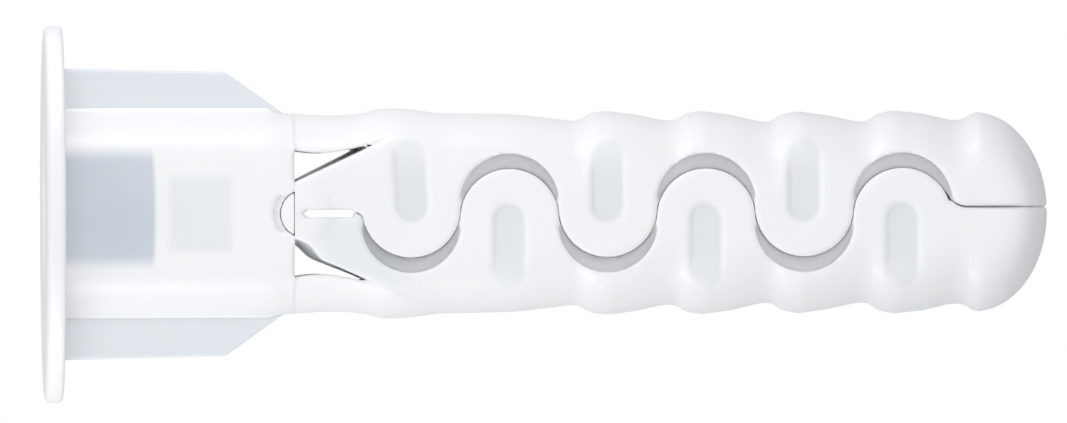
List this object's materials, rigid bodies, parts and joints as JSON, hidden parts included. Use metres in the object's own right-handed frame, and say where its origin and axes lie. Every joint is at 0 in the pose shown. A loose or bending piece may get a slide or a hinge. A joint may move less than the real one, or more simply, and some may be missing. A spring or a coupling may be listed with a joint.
{
  "type": "flanged expansion wall anchor",
  "caption": "White plastic wall anchor: a wide flange, a finned collar with a stepped screw bore, and two interlocking barbed legs that spread as a screw is driven in.",
  "frame": {"origin": "centre of the drilled hole's mouth: on the anchor's axis, in the plane of the flange's wall-bearing face", "axes": "+X along the anchor into the wall, towards the tail; +Z towards the upper leg; the legs open about axes along Y"},
  "size_m": [0.0401, 0.015, 0.015],
  "materials": {
    "body_plastic": "satin moulded polypropylene, milky and slightly translucent",
    "thin_plastic": "the same polypropylene in thin section, clearer and bluer"
  },
  "bodies": {
    "root": {"flange": "body_plastic", "collar": "body_plastic", "upper_fin": "thin_plastic", "lower_fin": "thin_plastic", "upper_strap": "body_plastic", "lower_strap": "body_plastic", "bridge": "body_plastic"},
    "upper_leg": {"upper_arm": "body_plastic", "upper_jaw": "body_plastic", "upper_nose": "body_plastic"},
    "lower_leg": {"lower_arm": "body_plastic", "lower_jaw": "body_plastic", "lower_nose": "body_plastic"}
  },
  "joints": [
    {"name": "upper_leg_hinge", "type": "hinge", "parent": "root", "child": "upper_leg", "pos_m": [0.00915, 0, 0.00113], "axis": [0, -1, 0], "range_deg": [0, 10], "stiffness_Nm_per_rad": 0.02, "deforming": ["upper_strap", "bridge"]},
    {"name": "lower_leg_hinge", "type": "hinge", "parent": "root", "child": "lower_leg", "pos_m": [0.00915, 0, -0.00113], "axis": [0, 1, 0], "range_deg": [0, 10], "stiffness_Nm_per_rad": 0.02, "deforming": ["lower_strap"]}
  ],
  "couplings": [
    {"joint": "lower_leg_hinge", "follows": "upper_leg_hinge", "ratio": 1}
  ]
}
